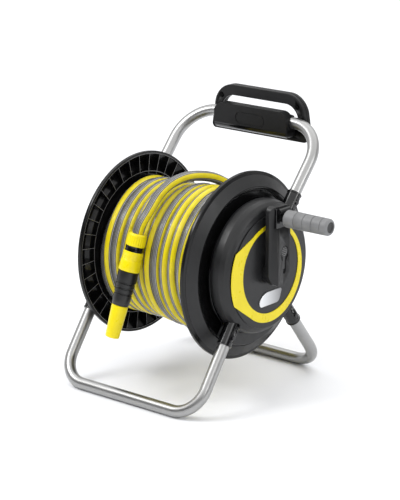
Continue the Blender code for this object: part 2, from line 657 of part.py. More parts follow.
# ---------------------------------------------------------------- hose and its fittings
def smooth(points, spacing):
    """Evenly spaced points on a smooth curve through the given points."""
    ends = [2 * points[0] - points[1]] + points + [2 * points[-1] - points[-2]]
    fine = []
    for a, b, c, d in zip(ends, ends[1:], ends[2:], ends[3:]):
        for k in range(24):
            t = k / 24
            fine.append(0.5 * (2 * b + (c - a) * t + (2 * a - 5 * b + 4 * c - d) * t ** 2
                               + (3 * b - a - 3 * c + d) * t ** 3))
    fine.append(points[-1])
    total = sum((b - a).length for a, b in zip(fine, fine[1:]))
    count = max(2, round(total / spacing))
    kept, run, goal = [fine[0]], 0.0, total / count
    for a, b in zip(fine, fine[1:]):
        run += (b - a).length
        if run >= goal * len(kept) and len(kept) < count:
            kept.append(b)
    return kept + [fine[-1]]


def tail_points():
    """Route of the hose's free end: round the winding, then straight into the nut."""
    route = []
    for x, degrees, radius in TAIL_ROUTE:
        turn = math.radians(degrees)
        route.append(Vector((x, -radius * math.sin(turn), radius * math.cos(turn))))
    course = (NOZZLE_END - NOZZLE_TOP).normalized()
    return smooth(route + [NOZZLE_TOP - 12 * course], 34.0) + [NOZZLE_TOP + 12 * course]


def hose(parent):
    ring = [(-WINDING_HALF, CORE_R + 0.4), (-WINDING_HALF, WINDING_R), (WINDING_HALF, WINDING_R),
            (WINDING_HALF, CORE_R + 0.4)]
    finish("hose_winding", turned(ring, 40), "hose", parent)
    curve = bpy.data.curves.new("hose_tail", "CURVE")
    curve.dimensions = "3D"
    curve.bevel_depth = HOSE_R * MM
    curve.bevel_resolution = 3
    curve.render_resolution_u = 0
    curve.use_fill_caps = True
    points = tail_points()
    spline = curve.splines.new("POLY")
    spline.points.add(len(points) - 1)
    for slot, point in zip(spline.points, points):
        slot.co = (*(point * MM), 1.0)
    curve.materials.append(material("hose", *FINISHES["hose"]))
    tail = bpy.data.objects.new("hose_tail", curve)
    tail.parent = parent
    bpy.context.collection.objects.link(tail)


def nozzle(drum, collar_joint, tip_joint):
    """Hose connector and spray nozzle, turned shapes on one line."""
    place = along(NOZZLE_TOP, NOZZLE_END - NOZZLE_TOP)
    pieces = {
        "connector_nut": ("yellow_plastic", drum, [
            (0, 9.2), (0, 14.2), (1.6, 15.3), (19.6, 16.0), (21.2, 15.2), (21.2, 9.2)]),
        "connector_body": ("black_plastic", drum, [
            (12.3, 5), (12.3, 8.8), (21.6, 8.8), (21.6, 14.6), (29.7, 14.6), (29.7, 12.4),
            (62, 12.4), (62, 8.6), (46, 8.6), (46, 5)]),
        "connector_collar": ("yellow_plastic", collar_joint, [
            (30.1, 15.0), (30.1, 16.4), (36, 17.2), (58, 17.9), (62.4, 17.5), (63.4, 16.4),
            (63.4, 12.8), (44, 12.8), (44, 15.0)]),
        "nozzle_body": ("black_plastic", drum, [
            (46.5, 4), (46.5, 8.2), (63.8, 8.2), (63.8, 16.2), (65, 16.9), (84, 16.5),
            (118, 14.4), (121.6, 14.0), (121.6, 9.4), (136, 9.4), (136, 4)]),
        "nozzle_tip": ("yellow_plastic", tip_joint, [
            (122, 9.8), (122, 13.2), (123, 13.8), (160, 12.4), (176, 11.7), (176.9, 10.8),
            (176.9, 8.5), (171, 4.5), (136.6, 4.5), (136.6, 9.8)]),
    }
    pivot = (NOZZLE_TOP + NOZZLE_END) / 2
    for name, (finish_name, parent, outline) in pieces.items():
        finish(name, moved(turned(outline, 18), place), finish_name, parent, pivot=pivot)


# ---------------------------------------------------------------- the whole reel
def main():
    for old in list(bpy.data.objects):
        bpy.data.objects.remove(old, do_unlink=True)
    hub = empty("axle_centre", (ORIGIN_X, ORIGIN_Y, AXLE_HEIGHT))
    drum = empty("drum_axis", (0, 0, 0), hub)
    swivel = empty("inlet_axis", (-175, 0, 0), hub)
    fold = empty("fold_axis", (FOLD_X, 0, CRANK_RADIUS), drum)
    spin = empty("grip_axis", (250, 0, CRANK_RADIUS), fold)

    make_tube("front_foot_tube", "front", hub)
    make_tube("rear_foot_tube", "rear", hub)
    make_tube("carry_tube", "upper", hub)
    for side in (1, -1):
        hub_frame(side, hub)
        hub_cover(side, hub)
        bearing_bush(side, hub)
        for number, angle in enumerate(POST_ANGLES, 1):
            cover_screw(number, angle, side, hub)
        for leg in LEGS:
            make_snap_button(leg, side, hub)
        flange(side, drum)
    handle_shells(hub)
    handle_screws(hub)
    drum_core(drum)
    crank_shaft(drum)
    water_path(drum)
    inlet(swivel)
    crank_face(drum)
    crank_arm(drum)
    arm_slider(drum)
    fold_bracket(drum)
    folding_grip(fold, spin)
    hose(drum)
    nozzle(drum, drum, drum)


main()
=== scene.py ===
"""Looks for the garden hose reel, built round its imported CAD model.

Lengths are millimetres from the middle of the drum's axle, in the CAD's directions (+X towards
the crank, +Y to the back, +Z up); piece() turns them into metres in the model's own frame.
"""
import math

import bmesh
import bpy
from mathutils import Matrix, Vector


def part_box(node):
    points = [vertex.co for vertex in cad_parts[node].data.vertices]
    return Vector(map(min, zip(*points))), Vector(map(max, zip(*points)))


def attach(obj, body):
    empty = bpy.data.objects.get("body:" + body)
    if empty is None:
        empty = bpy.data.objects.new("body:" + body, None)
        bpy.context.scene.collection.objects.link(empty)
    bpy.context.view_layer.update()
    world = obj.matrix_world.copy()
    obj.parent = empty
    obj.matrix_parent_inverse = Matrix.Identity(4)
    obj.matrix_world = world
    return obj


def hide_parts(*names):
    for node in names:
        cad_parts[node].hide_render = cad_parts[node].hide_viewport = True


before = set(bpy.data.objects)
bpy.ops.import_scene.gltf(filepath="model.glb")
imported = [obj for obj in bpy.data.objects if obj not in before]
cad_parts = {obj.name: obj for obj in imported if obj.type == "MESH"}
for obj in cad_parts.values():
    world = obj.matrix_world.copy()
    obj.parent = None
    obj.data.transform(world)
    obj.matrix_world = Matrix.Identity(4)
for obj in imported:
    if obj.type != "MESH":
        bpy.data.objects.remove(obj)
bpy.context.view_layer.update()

MM = 0.001
CORE_LOW, CORE_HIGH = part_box("drum_core")
AXLE = (CORE_LOW + CORE_HIGH) / 2
TO_ROW = Matrix.Translation(AXLE) @ Matrix.Scale(MM, 4)

# Sizes that the CAD model has too
AXLE_HEIGHT = 219.0
TUBE_R, TUBE_X = 10.0, 146.8
FRONT_BAR, REAR_BAR, CARRY_BAR = (-165.4, -209.34), (170.0, -209.34), (171.7, 204.5)
LEGS = {
    "front": ((-17.5, 0.0), FRONT_BAR, 47.0),
    "rear": ((4.0, 0.0), REAR_BAR, 56.0),
    "upper": ((-5.5, 0.0), CARRY_BAR, 66.0),
}
TUBE_START, SOCKET_START, SOCKET_REACH, BUTTON_BACK = 78.0, 66.0, 142.0, 16.0
COVER_RISE, SLEEVE_R = 5.0, 12.0
FLANGE_R, FLANGE_RIBS, RIB_PHASE = 156.7, 36, 0.3
ARM_HALF, ARM_TOP = 21.3, 114.0
SLIDER_Y, SLIDER_Z, SLIDER_TRAVEL = 7.0, 36.0, 6.0
FOLD_X, CRANK_RADIUS = 206.0, 94.5
LOOP_SCREW, PLATE_SCREW = (82.0, 231.0), (55.0, 188.5)
PLATE_EDGE_AT, PLATE_EDGE_R = (162.8, 189), 10
HOSE_R, HOSE_LENGTH = 8.75, 20.0
NOZZLE_TOP = Vector((-8.5, -123.6, 58.8))
NOZZLE_END = Vector((-28.1, -168.3, -111.2))
NOZZLE_AXIS = (NOZZLE_END - NOZZLE_TOP).normalized()
TAIL_ROUTE = (
    (96, -130, 126.0), (84, -114, 128.0), (69, -97, 129.5), (52, -78, 130.5), (36, -60, 131.0),
    (24, -45, 130.8), (14, -33, 130.6), (5, -19, 131.0), (-3, 0, 131.6), (-7, 17, 133.6),
    (-6, 33, 136.4), (-3.5, 49, 138.6),
)
# Layers of the wound hose: radius, number of turns, first and last place along the axle
LAYERS = ((72.7, 9, -84.0, 107.0), (90.2, 12, 107.0, -107.0), (107.7, 13, -107.0, 107.0))


# ---------------------------------------------------------------- camera, light and floor
DARK_SIDE = (0.62, -0.74, 0.25)


def camera():
    azimuth, elevation, distance = math.radians(40.0706), math.radians(16.0773), 3.29107
    target = Vector((0.05313, -0.04126, 0.24296 - AXLE_HEIGHT * MM)) + AXLE
    back = Vector((math.sin(azimuth) * math.cos(elevation),
                   -math.cos(azimuth) * math.cos(elevation), math.sin(elevation)))
    data = bpy.data.cameras.new("camera")
    data.lens = 144.54
    made = bpy.data.objects.new("camera", data)
    made.location = target + distance * back
    made.rotation_mode = "QUATERNION"
    made.rotation_quaternion = (-back).to_track_quat("-Z", "Y")
    bpy.context.scene.collection.objects.link(made)
    bpy.context.scene.camera = made


def area_light(name, offset, size, power):
    """Soft light at an offset from the axle, aimed at it."""
    data = bpy.data.lights.new(name, "AREA")
    data.shape = "RECTANGLE"
    data.size, data.size_y = size
    data.energy = power
    made = bpy.data.objects.new(name, data)
    place = AXLE + Vector(offset)
    made.location = place
    aim = AXLE - place
    made.rotation_mode = "QUATERNION"
    made.rotation_quaternion = aim.to_track_quat("-Z", "Y")
    bpy.context.scene.collection.objects.link(made)


def studio():
    """Bright sky with one dark side, three soft lights and a wide light from above."""
    scene = bpy.context.scene
    scene.view_settings.view_transform = "Standard"
    world = bpy.data.worlds.new("studio")
    scene.world = world
    world.use_nodes = True
    nodes, links = world.node_tree.nodes, world.node_tree.links
    nodes.clear()
    out = nodes.new("ShaderNodeOutputWorld")
    sky = nodes.new("ShaderNodeBackground")
    links.new(sky.outputs[0], out.inputs[0])
    where = nodes.new("ShaderNodeTexCoord")
    facing = nodes.new("ShaderNodeVectorMath")
    facing.operation = "DOT_PRODUCT"
    facing.inputs[1].default_value = DARK_SIDE
    links.new(where.outputs["Generated"], facing.inputs[0])
    ramp = nodes.new("ShaderNodeValToRGB")
    ramp.color_ramp.elements[0].position = 0.26
    ramp.color_ramp.elements[0].color = (1, 1, 1, 1)
    ramp.color_ramp.elements[1].position = 0.66
    ramp.color_ramp.elements[1].color = (0.07, 0.07, 0.07, 1)
    spread = nodes.new("ShaderNodeMapRange")
    spread.inputs["From Min"].default_value = -1.0
    links.new(facing.outputs["Value"], spread.inputs["Value"])
    links.new(spread.outputs["Result"], ramp.inputs["Fac"])
    links.new(ramp.outputs["Color"], sky.inputs["Color"])
    sky.inputs["Strength"].default_value = 0.95
    area_light("key", (-1.1, -1.5, 2.0), (1.2, 0.8), 34)
    area_light("fill", (2.2, -1.2, 1.0), (0.6, 1.4), 6)
    area_light("side", (2.3, 0.55, 0.75), (0.5, 0.9), 9)
    data = bpy.data.lights.new("ceiling", "SUN")
    data.energy = 2.75
    data.angle = math.radians(115)
    made = bpy.data.objects.new("ceiling", data)
    made.rotation_mode = "QUATERNION"
    made.rotation_quaternion = Vector((-0.20, 0.12, -1.0)).to_track_quat("-Z", "Y")
    bpy.context.scene.collection.objects.link(made)


def floor():
    shape = bmesh.new()
    bmesh.ops.create_circle(shape, cap_ends=True, radius=40.0, segments=64)
    mesh = bpy.data.meshes.new("floor")
    shape.to_mesh(mesh)
    shape.free()
    made = bpy.data.objects.new("floor", mesh)
    made.location = (0, 0, -0.0005)
    bpy.context.scene.collection.objects.link(made)
    paint, shader, nodes, links = new_material("floor_paint")
    shader.inputs["Roughness"].default_value = 0.55
    grain = noise_node(nodes, links, 14.0, 3.0)
    tint = mix_colours(nodes, links, grain, (0.885, 0.893, 0.915), (0.905, 0.913, 0.935))
    links.new(tint, shader.inputs["Base Color"])
    mesh.materials.append(paint)


# ---------------------------------------------------------------- materials
def new_material(name):
    made = bpy.data.materials.new(name)
    made.use_nodes = True
    tree = made.node_tree
    return made, tree.nodes["Principled BSDF"], tree.nodes, tree.links


def noise_node(nodes, links, scale, detail=2.0, stretch=(1, 1, 1)):
    where = nodes.new("ShaderNodeTexCoord")
    mapping = nodes.new("ShaderNodeMapping")
    mapping.inputs["Scale"].default_value = stretch
    links.new(where.outputs["Object"], mapping.inputs["Vector"])
    grain = nodes.new("ShaderNodeTexNoise")
    grain.inputs["Scale"].default_value = scale
    grain.inputs["Detail"].default_value = detail
    links.new(mapping.outputs["Vector"], grain.inputs["Vector"])
    return grain.outputs["Fac"]


def mix_colours(nodes, links, factor, first, second):
    mix = nodes.new("ShaderNodeMix")
    mix.data_type = "RGBA"
    for socket, value in ((mix.inputs[6], first), (mix.inputs[7], second)):
        if isinstance(value, tuple):
            socket.default_value = (*value, 1.0)
        else:
            links.new(value, socket)
    links.new(factor, mix.inputs[0])
    return mix.outputs[2]


def ramped(nodes, links, value, low, high, start=0.3, end=0.7):
    """A value between low and high, as the input goes from start to end."""
    spread = nodes.new("ShaderNodeMapRange")
    spread.inputs["From Min"].default_value = start
    spread.inputs["From Max"].default_value = end
    spread.inputs["To Min"].default_value = low
    spread.inputs["To Max"].default_value = high
    links.new(value, spread.inputs["Value"])
    return spread.outputs["Result"]


def add_bump(nodes, links, shader, height, distance):
    bump = nodes.new("ShaderNodeBump")
    bump.inputs["Strength"].default_value = 1.0
    bump.inputs["Distance"].default_value = distance
    links.new(height, bump.inputs["Height"])
    links.new(bump.outputs["Normal"], shader.inputs["Normal"])


def plastic(name, dark, light, roughness, grain=1400.0, depth=0.00004, specular=0.5):
    """Moulded plastic: slight cloudiness in the colour, fine grain in the surface."""
    made, shader, nodes, links = new_material(name)
    clouds = noise_node(nodes, links, 35.0, 4.0)
    links.new(mix_colours(nodes, links, ramped(nodes, links, clouds, 0, 1), dark, light),
              shader.inputs["Base Color"])
    patches = noise_node(nodes, links, 90.0, 3.0)
    links.new(ramped(nodes, links, patches, roughness * 0.88, roughness * 1.12),
              shader.inputs["Roughness"])
    shader.inputs["Specular IOR Level"].default_value = specular
    add_bump(nodes, links, shader, noise_node(nodes, links, grain), depth)
    return made


def painted_tube():
    """Silver lacquer on steel: fine metallic flakes under a satin surface."""
    made, shader, nodes, links = new_material("silver_tube")
    flakes = noise_node(nodes, links, 3800.0, 1.0)
    links.new(mix_colours(nodes, links, ramped(nodes, links, flakes, 0, 1), (0.33, 0.33, 0.328),
                          (0.42, 0.42, 0.415)), shader.inputs["Base Color"])
    shader.inputs["Metallic"].default_value = 1.0
    patches = noise_node(nodes, links, 12.0, 2.0)
    links.new(ramped(nodes, links, patches, 0.32, 0.37), shader.inputs["Roughness"])
    add_bump(nodes, links, shader, flakes, 0.000004)
    return made


def metal(name, dark, light, roughness):
    made, shader, nodes, links = new_material(name)
    lines = noise_node(nodes, links, 900.0, 3.0)
    links.new(mix_colours(nodes, links, ramped(nodes, links, lines, 0, 1), dark, light),
              shader.inputs["Base Color"])
    shader.inputs["Metallic"].default_value = 1.0
    links.new(ramped(nodes, links, lines, roughness * 0.8, roughness * 1.25),
              shader.inputs["Roughness"])
    add_bump(nodes, links, shader, lines, 0.00002)
    return made


def badge_metal():
    """Brushed silver darkening towards the plate's back end: a painted reflection fixed to the
    plate.
    """
    made, shader, nodes, links = new_material("badge_silver")
    lines = noise_node(nodes, links, 900.0, 3.0, (1, 0.05, 1))
    where = nodes.new("ShaderNodeTexCoord")
    parts = nodes.new("ShaderNodeSeparateXYZ")
    links.new(where.outputs["Object"], parts.inputs[0])
    # Painted reflection: the silver turns to dark grey towards the plate's back end.
    painted_reflection_fade = ramped(nodes, links, parts.outputs["Y"], 0, 1, AXLE.y - 0.020, AXLE.y + 0.034)
    bright = mix_colours(nodes, links, lines, (0.66, 0.67, 0.68), (0.76, 0.77, 0.78))
    links.new(mix_colours(nodes, links, painted_reflection_fade, bright, (0.20, 0.20, 0.205)),
              shader.inputs["Base Color"])
    shader.inputs["Metallic"].default_value = 1.0
    links.new(ramped(nodes, links, lines, 0.26, 0.34, 0, 1), shader.inputs["Roughness"])
    add_bump(nodes, links, shader, lines, 0.00002)
    return made


def hose_material():
    """Grey hose with two yellow stripes, painted highlight lines and ribs along it, and a woven
    layer.
    """
    made, shader, nodes, links = new_material("striped_hose")
    where = nodes.new("ShaderNodeTexCoord")
    parts = nodes.new("ShaderNodeSeparateXYZ")
    links.new(where.outputs["UV"], parts.inputs[0])

    def wave(source, cycles):
        turned_by = nodes.new("ShaderNodeMath")
        turned_by.operation = "MULTIPLY"
        turned_by.inputs[1].default_value = math.tau * cycles
        links.new(source, turned_by.inputs[0])
        made_wave = nodes.new("ShaderNodeMath")
        made_wave.operation = "COSINE"
        links.new(turned_by.outputs[0], made_wave.inputs[0])
        return made_wave.outputs[0]

    def line_at(source, centre, width):
        """One where the source is near a value, nought elsewhere."""
        shifted = nodes.new("ShaderNodeMath")
        shifted.operation = "SUBTRACT"
        shifted.inputs[1].default_value = centre
        links.new(source, shifted.inputs[0])
        distance = nodes.new("ShaderNodeMath")
        distance.operation = "ABSOLUTE"
        links.new(shifted.outputs[0], distance.inputs[0])
        return ramped(nodes, links, distance.outputs[0], 1, 0, width * 0.5, width)

    around, length = parts.outputs["X"], parts.outputs["Y"]
    stripes = wave(around, 2)
    stripe = ramped(nodes, links, stripes, 0, 1, 0.50, 0.56)
    ribs = wave(around, 40)
    rings = wave(length, 420)
    weave = nodes.new("ShaderNodeMath")
    weave.operation = "MULTIPLY"
    links.new(ribs, weave.inputs[0])
    links.new(rings, weave.inputs[1])
    woven = ramped(nodes, links, weave.outputs[0], 0, 1, -0.2, 0.9)
    clouds = noise_node(nodes, links, 60.0, 3.0)
    base = mix_colours(nodes, links, ramped(nodes, links, clouds, 0, 1), (0.070, 0.069, 0.068),
                       (0.105, 0.103, 0.10))
    base = mix_colours(nodes, links, ramped(nodes, links, woven, 0, 0.4, 0, 1), base,
                       (0.165, 0.165, 0.163))
    # Painted highlights: thin light lines along the hose, mostly beside the yellow stripes.
    for centre, width, highlight_strength in ((0.12, 0.10, 0.9), (-0.38, 0.06, 0.6), (-0.84, 0.03, 0.6)):
        line = ramped(nodes, links, line_at(stripes, centre, width), 0, highlight_strength, 0, 1)
        base = mix_colours(nodes, links, line, base, (0.62, 0.62, 0.61))
    yellow = mix_colours(nodes, links, ramped(nodes, links, clouds, 0, 1), (0.80, 0.64, 0.002),
                         (0.88, 0.74, 0.004))
    links.new(mix_colours(nodes, links, stripe, base, yellow), shader.inputs["Base Color"])
    links.new(ramped(nodes, links, stripe, 0.26, 0.34, 0, 1), shader.inputs["Roughness"])
    shader.inputs["Specular IOR Level"].default_value = 0.35
    shader.inputs["Coat Weight"].default_value = 0.35
    shader.inputs["Coat Roughness"].default_value = 0.08
    add_bump(nodes, links, shader, ribs, 0.00012)
    return made


SHADES = {}


def make_materials():
    SHADES.update({
        "tube": painted_tube(),
        "cover": plastic("satin_grey", (0.009, 0.0092, 0.0098), (0.012, 0.0122, 0.013), 0.40,
                         specular=0.38),
        "face": plastic("face_grey", (0.010, 0.0103, 0.011), (0.013, 0.0133, 0.014), 0.34,
                        specular=0.32),
        "black": plastic("grained_black", (0.004, 0.004, 0.0043), (0.006, 0.006, 0.0063), 0.42,
                         1100.0, 0.00006, 0.26),
        "gloss": plastic("gloss_black", (0.0025, 0.0025, 0.003), (0.004, 0.004, 0.0045), 0.12,
                         500.0, 0.00001),
        "drum": plastic("drum_black", (0.003, 0.003, 0.0032), (0.005, 0.005, 0.0053), 0.20,
                        700.0, 0.00002, 0.3),
        "ring": plastic("ring_yellow", (0.68, 0.55, 0.003), (0.74, 0.61, 0.005), 0.30, 900.0,
                        0.00002, 0.35),
        "yellow": plastic("nozzle_yellow", (0.78, 0.63, 0.002), (0.85, 0.70, 0.004), 0.30, 900.0,
                          0.00003, 0.35),
        "rubber": plastic("grip_black", (0.0054, 0.0054, 0.0054), (0.0081, 0.0081, 0.0081), 0.33,
                          1500.0, 0.00008),
        "grip": plastic("grip_grey", (0.16, 0.162, 0.165), (0.20, 0.202, 0.205), 0.5, 1600.0,
                        0.00010),
        "badge": badge_metal(),
        # rib: a lighter grey that paints highlights on rib edges and slider ridges.
        "rib": plastic("rib_painted_highlight", (0.10, 0.10, 0.102), (0.13, 0.13, 0.132), 0.3),
        # Near-black screw heads: partly the screws' own dark finish, partly painted shade in the
        # deep screw holes.
        "dark_steel_and_hole_shade": metal("dark_screw_and_hole_shade", (0.004, 0.004, 0.004), (0.007, 0.007, 0.007), 0.25),
        "steel": metal("zinc_steel", (0.48, 0.48, 0.47), (0.66, 0.66, 0.65), 0.3),
        "bush": plastic("bush_white", (0.52, 0.52, 0.50), (0.60, 0.60, 0.58), 0.4),
        "hose": hose_material(),
    })


# ---------------------------------------------------------------- shapes
def turned(outline, steps=96):
    """Revolve an outline of (along, radius) points about the X axis."""
    shape = bmesh.new()
    corners = [shape.verts.new((along, 0, radius)) for along, radius in outline]
    count = len(corners)
    sides = [shape.edges.new((corners[k], corners[(k + 1) % count])) for k in range(count)
             if outline[k][1] > 0 or outline[(k + 1) % count][1] > 0]
    bmesh.ops.spin(shape, geom=corners + sides, cent=(0, 0, 0), axis=(1, 0, 0),
                   angle=math.tau, steps=steps, use_merge=True)
    bmesh.ops.remove_doubles(shape, verts=shape.verts, dist=1e-4)
    return shape


def moved(shape, matrix):
    bmesh.ops.transform(shape, matrix=matrix, verts=shape.verts)
    return shape


def along(start, direction):
    """Matrix that lays the X axis along a direction from a start point."""
    turn = Vector((1, 0, 0)).rotation_difference(Vector(direction)).to_matrix().to_4x4()
    return Matrix.Translation(Vector(start)) @ turn


def rod(start, end, radius, steps=40):
    start, end = Vector(start), Vector(end)
    shape = bmesh.new()
    bmesh.ops.create_cone(shape, cap_ends=True, segments=steps, radius1=radius, radius2=radius,
                          depth=(end - start).length)
    turn = Vector((0, 0, 1)).rotation_difference(end - start).to_matrix().to_4x4()
    return moved(shape, Matrix.Translation((start + end) / 2) @ turn)


def prism(outline, low, high, axis="X"):
    """Extrude a flat outline along X (outline in Y, Z) or along Y (outline in X, Z)."""
    shape = bmesh.new()
    place = {"X": lambda a, b: (low, a, b), "Y": lambda a, b: (a, low, b)}[axis]
    face = shape.faces.new([shape.verts.new(place(a, b)) for a, b in outline])
    pushed = bmesh.ops.extrude_face_region(shape, geom=[face])
    rise = {"X": (high - low, 0, 0), "Y": (0, high - low, 0)}[axis]
    verts = [item for item in pushed["geom"] if isinstance(item, bmesh.types.BMVert)]
    bmesh.ops.translate(shape, vec=rise, verts=verts)
    return shape


def box(low, high):
    shape = bmesh.new()
    bmesh.ops.create_cube(shape, size=1.0)
    size = [b - a for a, b in zip(low, high)]
    middle = [(a + b) / 2 for a, b in zip(low, high)]
    return moved(shape, Matrix.Translation(middle) @ Matrix.Diagonal((*size, 1)))


def arc(centre, radius, start, end, steps):
    turns = [math.radians(start + (end - start) * k / steps) for k in range(steps + 1)]
    return [(centre[0] + radius * math.cos(t), centre[1] + radius * math.sin(t)) for t in turns]


def rounded_box(left, right, bottom, top, low, high, steps=12):
    """Rectangle whose bottom corners have the radius low and its top corners high."""
    return (arc((right - low, bottom + low), low, -90, 0, steps)
            + arc((right - high, top - high), high, 0, 90, steps)
            + arc((left + high, top - high), high, 90, 180, steps)
            + arc((left + low, bottom + low), low, 180, 270, steps))


def obround(y, low, high, radius, steps=16):
    return arc((y, high), radius, 0, 180, steps) + arc((y, low), radius, 180, 360, steps)


def rounded(points, radius, steps=4):
    """A closed outline with its corners rounded, except those on the axis."""
    made = []
    count = len(points)
    for k, here in enumerate(points):
        here = Vector(here)
        back = Vector(points[k - 1]) - here
        on = Vector(points[(k + 1) % count]) - here
        if here.y == 0:
            made.append(tuple(here))
            continue
        reach = min(radius, back.length * 0.45, on.length * 0.45)
        first, last = here + back.normalized() * reach, here + on.normalized() * reach
        for n in range(steps + 1):
            t = n / steps
            made.append(tuple(first * (1 - t) ** 2 + here * 2 * t * (1 - t) + last * t ** 2))
    return made


def gather(*shapes):
    """Several closed shapes as one mesh."""
    whole = bmesh.new()
    for shape in shapes:
        part = bpy.data.meshes.new("part")
        shape.to_mesh(part)
        shape.free()
        whole.from_mesh(part)
        bpy.data.meshes.remove(part)
    return whole


def piece(name, shape, shade, body=None, stands_for=(), sharp=32):
    """Make an object of a shape, in the model's frame, riding on a CAD body."""
    bmesh.ops.recalc_face_normals(shape, faces=shape.faces)
    bmesh.ops.transform(shape, matrix=TO_ROW, verts=shape.verts)
    mesh = bpy.data.meshes.new(name)
    shape.to_mesh(mesh)
    shape.free()
    mesh.shade_smooth()
    mesh.set_sharp_from_angle(angle=math.radians(sharp))
    made = bpy.data.objects.new(name, mesh)
    bpy.context.scene.collection.objects.link(made)
    if shade:
        mesh.materials.append(SHADES[shade])
    if body:
        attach(made, body)
    if stands_for:
        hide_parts(*stands_for)
    return made


def cut(target, shape, operation="DIFFERENCE"):
    """Cut or join with a hidden helper shape."""
    tool = piece(f"tool_{target.name}_{len(target.modifiers)}", shape, None)
    tool.hide_render = True
    tool.hide_viewport = True
    step = target.modifiers.new(operation.title(), "BOOLEAN")
    step.operation = operation
    step.solver = "EXACT"
    step.object = tool
    return target


def soften(target, width, segments):
    step = target.modifiers.new("Soften", "BEVEL")
    step.width = width * MM
    step.segments = segments
    step.limit_method = "ANGLE"
    step.angle_limit = math.radians(40)
    step.harden_normals = True
    return target


def tube(path, radius, sides=28):
    """Round bar along a path that lies in one plane."""
    shape = bmesh.new()
    flat = max(((b - a).cross(c - b) for a, b, c in zip(path, path[1:], path[2:])),
               key=lambda normal: normal.length).normalized()
    rings = []
    for k, point in enumerate(path):
        ahead = path[min(k + 1, len(path) - 1)] - point
        behind = point - path[max(k - 1, 0)]
        course = (ahead.normalized() + behind.normalized()).normalized()
        side = course.cross(flat).normalized()
        turns = [math.tau * n / sides for n in range(sides)]
        rings.append([shape.verts.new(point + radius * (math.cos(t) * side + math.sin(t) * flat))
                      for t in turns])
    for one, two in zip(rings, rings[1:]):
        for n in range(sides):
            m = (n + 1) % sides
            shape.faces.new((one[n], one[m], two[m], two[n]))
    shape.faces.new(rings[0])
    shape.faces.new(reversed(rings[-1]))
    return shape


def fillet_path(corners, radius, steps=20):
    path = [Vector(corners[0])]
    for before, here, after in zip(corners, corners[1:], corners[2:]):
        before, here, after = Vector(before), Vector(here), Vector(after)
        back, on = (before - here).normalized(), (after - here).normalized()
        half = back.angle(on) / 2
        centre = here + (back + on).normalized() * radius / math.sin(half)
        first = here + back * radius / math.tan(half) - centre
        last = here + on * radius / math.tan(half) - centre
        path += [centre + radius * first.slerp(last, k / steps) for k in range(steps + 1)]
    return path + [Vector(corners[-1])]


def mirrored(outline, side):
    return [(side * x, radius) for x, radius in outline]


# ---------------------------------------------------------------- frame
def leg_point(leg, distance, side):
    aim, corner, _ = LEGS[leg]
    course = Vector((corner[0] - aim[0], corner[1] - aim[1])).normalized()
    return Vector((side * TUBE_X, aim[0] + course.x * distance, aim[1] + course.y * distance))


def reach(leg, radius):
    """Distance along a leg's line at which it is a given radius from the axle."""
    aim, corner, _ = LEGS[leg]
    aim = Vector(aim)
    toward = aim.dot((Vector(corner) - aim).normalized())
    return math.sqrt(toward ** 2 - aim.length_squared + radius ** 2) - toward


def button_distance(leg):
    return reach(leg, SOCKET_REACH) - BUTTON_BACK


def frame_tubes():
    nodes = {"front": "front_foot_tube", "rear": "rear_foot_tube", "upper": "carry_tube"}
    for leg, node in nodes.items():
        _, corner, bend = LEGS[leg]
        corners = [leg_point(leg, TUBE_START, 1), (TUBE_X, *corner), (-TUBE_X, *corner),
                   leg_point(leg, TUBE_START, -1)]
        piece(f"{node}_shown", tube(fillet_path(corners, bend), TUBE_R), "tube", "frame",
              [node], 60)


def hub_word(side):
    return "right" if side > 0 else "left"


def tongue_ring(leg, side):
    """Raised oval rim round a snap button, lying on the sleeve's outer face."""
    shape = bmesh.new()
    start, end = leg_point(leg, 0, side), leg_point(leg, 1, side)
    course = (end - start).normalized()
    across = course.cross(Vector((side, 0, 0)))
    line = obround(0, -9.0, 3.5, 5.4, 12)
    rings = []
    for k, spot in enumerate(line):
        here = Vector(spot)
        nearby = Vector(line[(k + 1) % len(line)]) - Vector(line[k - 1])
        out = Vector((nearby.y, -nearby.x)).normalized()
        ring = []
        for n in range(6):
            t = math.tau * n / 6
            flat = here + out * 0.55 * math.cos(t)
            lift = SLEEVE_R + 0.75 * math.sin(t)
            turn = flat.x / SLEEVE_R
            ring.append(shape.verts.new(
                leg_point(leg, button_distance(leg) + flat.y, side) + across * lift * math.sin(turn)
                + Vector((side, 0, 0)) * lift * math.cos(turn)))
        rings.append(ring)
    for k, one in enumerate(rings):
        two = rings[(k + 1) % len(rings)]
        for n in range(6):
            m = (n + 1) % 6
            shape.faces.new((one[n], one[m], two[m], two[n]))
    return shape


def hub_frames():
    for side in (1, -1):
        word = hub_word(side)
        plate = [(127, 18.3), (127, 109), (130.5, 109), (130.5, 24), (157.8, 23), (157.8, 18.3)]
        shapes = [turned(mirrored(rounded(plate, 0.6), side), 96)]
        for leg in LEGS:
            sleeve = [(0, 0.1), (0, 11.6), (0.5, SLEEVE_R), (76.5, SLEEVE_R), (77.2, 12.7),
                      (79.4, 12.7), (80, 12.2), (80, 10.1), (40, 10.1), (40, 0.1)]
            length = reach(leg, SOCKET_REACH) - SOCKET_START
            sleeve = [(x * length / 80, r) for x, r in sleeve]
            start = leg_point(leg, SOCKET_START, side)
            course = leg_point(leg, SOCKET_START + length, side) - start
            shapes.append(moved(turned(sleeve, 48), along(start, course)))
            shapes.append(tongue_ring(leg, side))
        hub = piece(f"hub_frame_{word}_shown", gather(*shapes), "gloss", "frame",
                    [f"hub_frame_{word}"])
        cut(hub, rod((side * 158.2, 0, 0), (side * 190, 0, 0), 101, 72))


